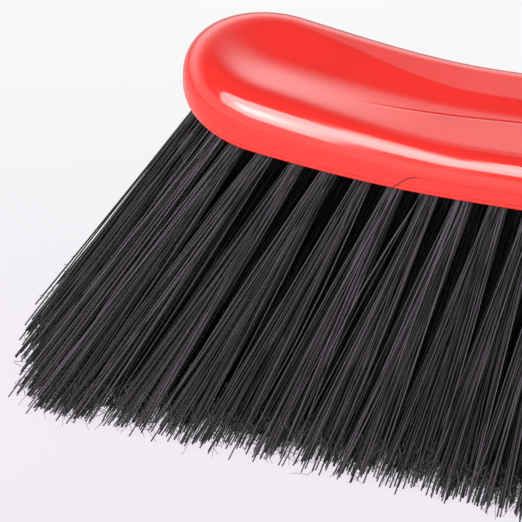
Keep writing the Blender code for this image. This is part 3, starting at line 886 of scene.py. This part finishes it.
def grow_bristle(name, tree, tufts, settings, seed, material):
    """The tree's strands on a mesh of tuft places, as one plain mesh."""
    mesh = bpy.data.meshes.new(name + "_places")
    mesh.from_pydata([root for root, way in tufts], [], [])
    reach = mesh.attributes.new("reach", 'FLOAT_VECTOR', 'POINT')
    for item, (root, way) in zip(reach.data, tufts):
        item.vector = way
    obj = bpy.data.objects.new(name + "_places", mesh)
    bpy.context.scene.collection.objects.link(obj)
    modifier = obj.modifiers.new("Bristle", 'NODES')
    modifier.node_group = tree
    values = {socket: getattr(settings, socket.lower().replace(" ", "_"))
              for socket in BRISTLE_INPUTS}
    values.update({"Seed": seed, "Material": material})
    for item in tree.interface.items_tree:
        if item.in_out == 'INPUT' and item.name in values:
            modifier[item.identifier] = values[item.name]
    return plain_mesh(obj, name)


def bristle_plastic(s, name, root_painted_shade):
    """Black drawn fibre, with a shade of its own on each strand and dull grey fine hairs. Near their
    roots, strands lose the share given as the last argument of their paleness: painted shade for the
    rows inside, which little light reaches."""
    pale_power = 1.8
    root_shade_fade, tip_gloss = (0.25, 0.62), (0.7, 1.0, 0.35, 0.72)
    dust_share, dust_grey = 0.12, (0.25, 0.24, 0.24)
    material, nodes, shader = gloss_material(name, 0.42)
    along = nodes.attribute("along")
    place = nodes.object_place()
    tone = nodes.mix(nodes.attribute("shade") ** pale_power, rgba(s.black), rgba(s.light), 'RGBA')
    # Painted shade: strands darken towards black near their roots.
    tone = nodes.mix(nodes.range(along, *root_shade_fade, root_painted_shade, 0.0), tone, (0, 0, 0, 1), 'RGBA')
    tone = nodes.mix(nodes.math('GREATER_THAN', along, (1.0 + ON_HAIR) / 2), tone,
                     rgba(s.hair_grey), 'RGBA')
    dust = nodes.range(nodes.noise(place, 900.0, 3.0), 0.62, 0.8)
    tone = nodes.mix(dust * dust_share, tone, rgba(dust_grey), 'RGBA')
    nodes.feed(shader, {"Base Color": tone,
                        "Roughness": nodes.range(along, *tip_gloss),
                        "Normal": nodes.bump(nodes.noise(place, 2600.0, 2.0), 0.4, 0.00003)})
    return material


class BROOM_OT_bristle(bpy.types.Operator):
    """Grow the tufts of black bristle out of the head"""
    bl_idname = "broom.bristle"
    bl_label = "Bristle"

    def execute(self, context):
        settings = context.scene.broom_bristle
        rows = BristleRows(HeadShape(context.scene.broom_head), settings)
        tree = bristle_tree()
        outer = bristle_plastic(settings, "black_bristle", 0.0)
        # The rows inside get a copy of the bristle material that darkens the strands near their roots:
        # painted shade.
        inner = bristle_plastic(settings, "black_bristle_inside_painted_shade", 0.93)
        for seed, (node, places) in enumerate(rows.groups().items()):
            tufts = [rows.tuft(x, y) for x, y in places]
            material = outer if node.startswith("outer") else inner
            piece = grow_bristle("bristle_" + node, tree, tufts, settings, 100 * seed, material)
            settle(piece, None, "head", "bristle", node)
        return {'FINISHED'}


# Handle


def handle_frame():
    """Turns a handle's own frame, with its foot at the origin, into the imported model's."""
    lean = Matrix.Rotation(math.atan2(HANDLE_AXIS.x, HANDLE_AXIS.z), 4, 'Y')
    return Matrix.Translation(HANDLE_FOOT) @ lean


def turned(name, profile, sides=96, closed=False):
    """A solid turned about Z through (radius, height) points, from its foot to its top."""
    return mesh_object(name, loft([circle([radius] * sides, height)
                                   for radius, height in profile], closed))


def rounded(start, end, steps=5):
    """Points of a rounded outer corner, from the face at start to the side at end."""
    return [(start[0] + (end[0] - start[0]) * math.sin(turn),
             start[1] + (end[1] - start[1]) * (1 - math.cos(turn)))
            for turn in quarter_turn(steps)]


def black_coat(name, colour, palest, cloud_scale, roughness, grain, scuffed=False):
    """A black finish with soft clouds of shade and gloss. Its colour runs from a fifth darker to
    palest, roughness holds its least, mean and greatest, and grain the scale, detail and depth
    of its fine texture."""
    darkest, scuff_share, scuff_grey = 0.8, 0.25, (0.12, 0.12, 0.12)
    least, mean, greatest = roughness
    grain_scale, grain_detail, grain_depth = grain
    material, nodes, shader = gloss_material(name, mean)
    place = nodes.object_place()
    cloud = nodes.noise(place, cloud_scale, 3.0)
    tone = nodes.mix(cloud, rgba(colour, darkest), rgba(colour, palest), 'RGBA')
    if scuffed:
        scuff = nodes.range(nodes.noise(place, 140.0, 5.0, 0.7), 0.66, 0.78)
        tone = nodes.mix(scuff * scuff_share, tone, rgba(scuff_grey), 'RGBA')
    texture = nodes.noise(place, grain_scale, grain_detail)
    nodes.feed(shader, {"Base Color": tone,
                        "Roughness": nodes.range(cloud, 0.3, 0.7, least, greatest, 'LINEAR'),
                        "Normal": nodes.bump(texture, 0.5, grain_depth)})
    return material


def make_tube(s, head):
    """The tube, open at both ends, with rounded outer edges."""
    wall_steps, edge_share = 24, 0.8
    foot = head.socket_rim + s.gap
    top = foot + s.tube_length
    edge = edge_share * s.tube_wall
    inner = s.tube_radius - s.tube_wall
    shoulder = s.tube_radius - edge
    profile = rounded((shoulder, foot), (s.tube_radius, foot + edge))
    for i in range(1, wall_steps):
        profile.append((s.tube_radius,
                        foot + edge + (s.tube_length - 2 * edge) * i / wall_steps))
    for radius, height in rounded((shoulder, -top), (s.tube_radius, edge - top))[::-1]:
        profile.append((radius, -height))
    profile += [(inner, top), (inner, foot)]
    return turned("tube_shell", profile, closed=True)


def make_thread(s, head):
    """The threaded tip: a trapezoid thread of one start, and the plug inside the tube."""
    sides, steps_per_turn = 60, 18
    nose_share = 0.8
    chamfer = 0.0008
    start = head.socket_floor + s.thread_clearance
    stop = head.socket_rim - s.gap
    plug = s.tube_radius - s.tube_wall - s.gap
    root = s.thread_radius - s.thread_depth
    count = round((stop - start) / s.thread_pitch * steps_per_turn)
    rings = [circle([nose_share * root] * sides, start - s.gap)]
    for k in range(count + 1):
        height = start + (stop - start) * k / count
        fade = smoothstep(min(height - start, stop - height) / (s.thread_pitch / 2))
        radii = []
        for i in range(sides):
            place = (height / s.thread_pitch - i / sides) % 1.0
            from_root = 0.5 - abs(place - 0.5)
            rise = min(max((from_root - s.thread_root_land / 2) / s.thread_flank, 0.0), 1.0)
            radii.append(root + s.thread_depth * rise * fade)
        rings.append(circle(radii, height))
    foot = head.socket_rim + 2 * s.gap
    for radius, height in ((root, foot), (plug, foot), (plug, foot + s.plug_length - chamfer),
                           (plug - chamfer, foot + s.plug_length)):
        rings.append(circle([radius] * sides, height))
    return mesh_object("threaded_tip", loft(rings))


def cut(obj, cutters):
    """Cut each of the cutters out of obj with a live modifier."""
    for cutter in cutters:
        modifier = obj.modifiers.new("Cut", 'BOOLEAN')
        modifier.operation = 'DIFFERENCE'
        modifier.solver = 'EXACT'
        modifier.object = cutter


def tongue_cutter(s, base, side):
    """A block that leaves the tongue flat on one side, with its shoulder sloping down."""
    bm = bmesh.new()
    bmesh.ops.create_cube(bm, size=1.0)
    size = Matrix.Diagonal((4 * s.cap_radius, s.cap_radius, s.cap_length, 1.0))
    spot = Vector((0.0, side * (s.tongue_thickness / 2 + s.cap_radius / 2),
                   base + s.tongue_start + s.cap_length / 2))
    bmesh.ops.transform(bm, matrix=Matrix.Translation(spot) @ size, verts=bm.verts)
    for vertex in bm.verts:
        if vertex.co.z < spot.z and abs(vertex.co.y) > abs(spot.y):
            vertex.co.z -= s.cap_radius * math.tan(s.shoulder_slope)
    return mesh_object("tongue_cutter", bm)


def hole_cutter(s, top):
    """A rod across the cap where its hanging hole is."""
    sides = 64
    bm = bmesh.new()
    bmesh.ops.create_cone(bm, cap_ends=True, segments=sides, radius1=s.hole_radius,
                          radius2=s.hole_radius, depth=4 * s.cap_radius)
    spot = Matrix.Translation((0.0, 0.0, top - s.hole_from_end)) @ Matrix.Rotation(
        math.radians(90), 4, 'X')
    bmesh.ops.transform(bm, matrix=spot, verts=bm.verts)
    return mesh_object("hole_cutter", bm)


def make_cap(s, head):
    """The hang cap: a plug, a collar, and a flat tongue with a rounded hole through it."""
    crown, crown_steps = 0.010, 12
    soft, cut_edge = 0.0007, 0.0006
    groove = ((0.0, 0.0105), (soft / 2, 0.0110), (soft / 2, 0.0115), (0.0, 0.0120))
    seat = head.socket_rim + s.gap + s.tube_length
    plug = s.tube_radius - s.tube_wall - s.gap
    base = seat + s.gap
    top = base + s.cap_length
    profile = [(0.0, seat - s.plug_length), (plug - soft, seat - s.plug_length),
               (plug, seat - s.plug_length + soft), (plug, base)]
    profile += rounded((s.cap_radius - soft, base), (s.cap_radius, base + soft))
    profile += [(s.cap_radius - depth, base + height) for depth, height in groove]
    profile += [(s.cap_radius * math.cos(turn), top - crown + crown * math.sin(turn))
                for turn in quarter_turn(crown_steps)]
    cap = turned("cap_blank", profile)
    cutters = [tongue_cutter(s, base, side) for side in (-1, 1)] + [hole_cutter(s, top)]
    cut(cap, cutters)
    bevel = cap.modifiers.new("Soft edges", 'BEVEL')
    bevel.width = cut_edge
    bevel.segments = 3
    bevel.limit_method = 'ANGLE'
    bevel.angle_limit = math.radians(50)
    made = plain_mesh(cap, "hanging_cap")
    for cutter in cutters:
        bpy.data.objects.remove(cutter)
    return made


class BROOM_OT_handle(bpy.types.Operator):
    """Build the tube handle with its threaded tip and its hang cap"""
    bl_idname = "broom.handle"
    bl_label = "Handle"

    def execute(self, context):
        settings = context.scene.broom_handle
        head = context.scene.broom_head
        plastic = black_coat("moulded_black", settings.plastic_colour, 1.3, 60.0,
                             (0.42, 0.48, 0.56), (2200.0, 2.0, 0.00006))
        coat = black_coat("tube_coat", settings.tube_colour, 1.25, 25.0, (0.30, 0.36, 0.42),
                          (1500.0, 3.0, 0.00005), scuffed=True)
        for piece, material, body, slot, node in (
                (make_tube(settings, head), coat, "handle", "tube", "handle_tube"),
                (make_thread(settings, head), plastic, "handle_fittings", "handle_plastic",
                 "thread_tip"),
                (make_cap(settings, head), plastic, "handle_fittings", "handle_plastic",
                 "hang_cap")):
            piece.data.transform(handle_frame())
            smooth(piece)
            settle(piece, material, body, slot, node)
        return {'FINISHED'}


# Stage


def make_camera(s, head):
    """The camera at the photograph's angle, which sees the left third of the head."""
    turn, rise = s.azimuth, s.elevation
    right = Vector((math.cos(turn), math.sin(turn), 0.0))
    back = Vector((math.sin(turn) * math.cos(rise), -math.cos(turn) * math.cos(rise),
                   math.sin(rise)))
    up = back.cross(right)
    camera = bpy.data.objects.new("camera", bpy.data.cameras.new("camera"))
    bpy.context.scene.collection.objects.link(camera)
    rotation = Matrix((right, up, back)).transposed().to_4x4()
    below = Vector((*head.frame.translation.xy, 0.0))
    camera.matrix_world = Matrix.Translation(below + Vector(s.camera_offset)) @ rotation
    camera.data.sensor_width = 36.0
    camera.data.angle = s.field_of_view
    camera.data.clip_start = 0.01
    camera.data.clip_end = 50.0
    bpy.context.scene.camera = camera


def area_light(name, place, target, size, power):
    """A soft lamp at place that faces target and isn't seen in gloss."""
    lamp = bpy.data.lights.new(name, 'AREA')
    lamp.shape = 'RECTANGLE'
    lamp.size, lamp.size_y = size
    lamp.energy = power
    obj = bpy.data.objects.new(name, lamp)
    obj.visible_glossy = False
    bpy.context.scene.collection.objects.link(obj)
    obj.matrix_world = (Matrix.Translation(place)
                        @ (target - place).to_track_quat('-Z', 'Y').to_matrix().to_4x4())


def strip_glow(nodes, along, across):
    """How the card's glow is shaped, for a strip that narrows along the head's rim: its power,
    and the share of it that is lit."""
    handle_low, taper_low = (0.030, 0.048, -0.132, -0.052), (0.020, -0.110, 0.0, 0.055)
    handle_high = (0.045, 0.054, 0.042, 0.100)
    edge_fade = (0.5, 0.42)
    lean, curve = 0.43, 0.06
    left_fade, right_fade = (-0.112, -0.100), (0.100, 0.072)
    left_dim = (-0.085, -0.030, 0.85, 1.0)
    bell_middle, bell_reach = 0.48, 0.26
    gleam_left, gleam_right = (-0.060, -0.020), (0.034, 0.020, 0.27, 1.0)
    low = nodes.range(along, *handle_low) + nodes.range(along, *taper_low, 'LINEAR')
    high = nodes.range(along, *handle_high)
    share = (across - low) / (high - low)
    off_centre = abs(share - 0.5)
    slant = across * lean + off_centre ** 2.0 * curve
    bell = nodes.range(abs(share - bell_middle), bell_reach, 0.0)
    gleam = nodes.range(along, *gleam_left) * nodes.range(along, *gleam_right)
    power = nodes.range(along, *left_dim) * (bell * gleam + 1.0)
    lit = nodes.range(along - slant, *left_fade) * nodes.range(along, *right_fade)
    return power, lit * nodes.range(off_centre, *edge_fade)


def strip_card(view_point):
    """A bright card near the head that shows only in gloss, as a studio's softbox does. It makes
    the long reflection on the head's rim, and is clear where it isn't lit."""
    rise, reach, shift = math.radians(62), 0.18, -0.05
    length, width = 0.30, 0.28
    strength = 12.8
    centre = view_point + Vector((shift, -reach * math.cos(rise), reach * math.sin(rise)))
    right, up = Vector((1.0, 0.0, 0.0)), Vector((0.0, math.sin(rise), math.cos(rise)))
    bm = bmesh.new()
    bm.faces.new([bm.verts.new(centre + right * (a * length / 2) + up * (b * width / 2))
                  for a, b in ((-1, -1), (1, -1), (1, 1), (-1, 1))])
    mesh = bpy.data.meshes.new("strip_card")
    bm.to_mesh(mesh)
    bm.free()
    card = bpy.data.objects.new("strip_card", mesh)
    bpy.context.scene.collection.objects.link(card)
    material, nodes = empty_material("strip_card")
    x, z = nodes.split(nodes.object_place())[::2]
    power, lit = strip_glow(nodes, x - centre.x, (z - centre.z) / up.z)
    glow = nodes.wire("ShaderNodeEmission", {"Color": (1.0, 0.98, 0.97, 1.0),
                                             "Strength": power * strength})
    nodes.surface(lit, nodes.wire("ShaderNodeBsdfTransparent"), glow)
    mesh.materials.append(material)
    card.visible_camera = False
    card.visible_diffuse = False
    card.visible_shadow = False
    card.visible_transmission = False


def make_floor(s):
    """Pale paper that glows for the camera. Near the broom it is darker and tinted, a painted shade,
    and under its bristle it is dark, a painted shadow, so that nothing bright shows between the
    strands."""
    half_size = 60.0
    matt_white = (0.80, 0.795, 0.80)
    glow_share = 0.84
    back_fade, far_fade = (-0.08, 0.20), (0.40, 1.10)
    tips_middle, tips_reach = -0.0185, 0.1365
    bristle_shadow_fade, bristle_shadow_glow = (0.024, 0.036), 0.06
    bm = bmesh.new()
    bmesh.ops.create_grid(bm, x_segments=1, y_segments=1, size=half_size)
    floor = mesh_object("floor", bm)
    material, nodes = empty_material("floor_paper")
    along, away = nodes.split(nodes.object_place())[:2]
    # Painted shade: the floor is darker and tinted in front of the broom and near it, and pales to the
    # backdrop further off.
    pale = nodes.math('MAXIMUM', nodes.range(away, *back_fade, shape='LINEAR'),
                      nodes.range(nodes.distance(along, away), *far_fade))
    paper = nodes.mix(pale, rgba(s.floor_shade_colour), rgba(s.backdrop_colour), 'RGBA')
    # Painted shadow: under the bristle's footprint the floor's glow drops to a small share.
    beyond = nodes.math('MAXIMUM', abs(along - tips_middle) - tips_reach, 0.0)
    lit = nodes.range(nodes.distance(beyond, away), *bristle_shadow_fade, bristle_shadow_glow, 1.0)
    matt = nodes.wire("ShaderNodeBsdfDiffuse", {"Color": rgba(matt_white)})
    glow = nodes.wire("ShaderNodeEmission", {"Color": paper, "Strength": lit})
    seen = nodes.wire("ShaderNodeLightPath", output="Is Camera Ray")
    nodes.surface(seen * glow_share, matt, glow)
    floor.data.materials.append(material)


def make_world():
    """A white room for the camera. Gloss sees a dark ceiling, and the brightest wall behind."""
    ceiling, front_wall, back_wall, white_room = 0.14, 1.65, 2.6, 0.97
    front_top, back_top = (0.62, 0.46), (0.73, 0.32)
    back_foot = (0.32, 0.0, 1.0, 0.5)
    front_to_back = (-0.2, 0.2)
    soft_light, soft_light_back = (0.93, 0.70, 0.18, 0.71), (-0.3, 0.4, 1.06, 0.88)
    world = bpy.data.worlds.new("studio")
    bpy.context.scene.world = world
    world.use_nodes = True
    nodes = Nodes(world.node_tree)
    way = nodes.wire("ShaderNodeTexCoord", output="Generated", vector=True)
    back, up = nodes.split(way)[1:]
    in_front = nodes.range(up, *front_top, ceiling, front_wall)
    behind = nodes.range(up, *back_top, ceiling, back_wall) * nodes.range(up, *back_foot)
    gloss = nodes.mix(nodes.range(back, *front_to_back), in_front, behind)
    light = nodes.range(up, *soft_light) * nodes.range(back, *soft_light_back)
    lit = nodes.mix(nodes.wire("ShaderNodeLightPath", output="Is Glossy Ray"), light, gloss)
    level = nodes.mix(nodes.wire("ShaderNodeLightPath", output="Is Camera Ray"), lit, white_room)
    background = nodes.wire("ShaderNodeBackground", {"Color": rgba((1.0, 1.0, 1.0)),
                                                     "Strength": level})
    nodes.add("ShaderNodeOutputWorld", {"Surface": background})


class BROOM_OT_stage(bpy.types.Operator):
    """Set the floor, the lamps and the camera"""
    bl_idname = "broom.stage"
    bl_label = "Stage"

    # Each lamp's place from the view point, its size and its power
    LAMPS = {"key": ((-0.5, -1.5, 1.25), (1.4, 1.0), 29.0),
             "fill": ((1.2, -1.1, 0.9), (1.2, 1.2), 8.0)}

    # The middle of what the camera sees, in the head's frame
    VIEW_POINT = (-0.08, 0.0, 0.01)

    def execute(self, context):
        settings = context.scene.broom_stage
        head = HeadShape(context.scene.broom_head)
        make_camera(settings, head)
        make_floor(settings)
        make_world()
        view_point = head.frame @ Vector(self.VIEW_POINT)
        for name, (place, size, power) in self.LAMPS.items():
            area_light(name, view_point + Vector(place), view_point, size, power)
        strip_card(view_point)
        context.scene.view_settings.view_transform = 'Standard'
        return {'FINISHED'}


class BROOM_PT_panel(bpy.types.Panel):
    """Lists the steps that build the broom, with their sizes and colours."""
    bl_idname = "BROOM_PT_panel"
    bl_label = "Angled Broom"
    bl_space_type = 'VIEW_3D'
    bl_region_type = 'UI'
    bl_category = "Broom"

    def draw(self, context):
        for operator, group in (("broom.head", "broom_head"), ("broom.bristle", "broom_bristle"),
                                ("broom.handle", "broom_handle"), ("broom.stage", "broom_stage")):
            box = self.layout.box()
            box.operator(operator)
            settings = getattr(context.scene, group)
            for name in settings.bl_rna.properties.keys():
                if name not in ("rna_type", "name"):
                    box.prop(settings, name)


GROUPS = {"broom_head": HeadSettings, "broom_bristle": BristleSettings,
          "broom_handle": HandleSettings, "broom_stage": StageSettings}
CLASSES = (*GROUPS.values(), BROOM_OT_head, BROOM_OT_bristle, BROOM_OT_handle, BROOM_OT_stage,
           BROOM_PT_panel)


def register():
    for cls in CLASSES:
        bpy.utils.register_class(cls)
    for name, group in GROUPS.items():
        setattr(bpy.types.Scene, name, PointerProperty(type=group))


def unregister():
    for name in GROUPS:
        delattr(bpy.types.Scene, name)
    for cls in reversed(CLASSES):
        bpy.utils.unregister_class(cls)


def main():
    register()
    bpy.ops.broom.head()
    bpy.ops.broom.bristle()
    bpy.ops.broom.handle()
    bpy.ops.broom.stage()


if __name__ == "__main__":
    main()
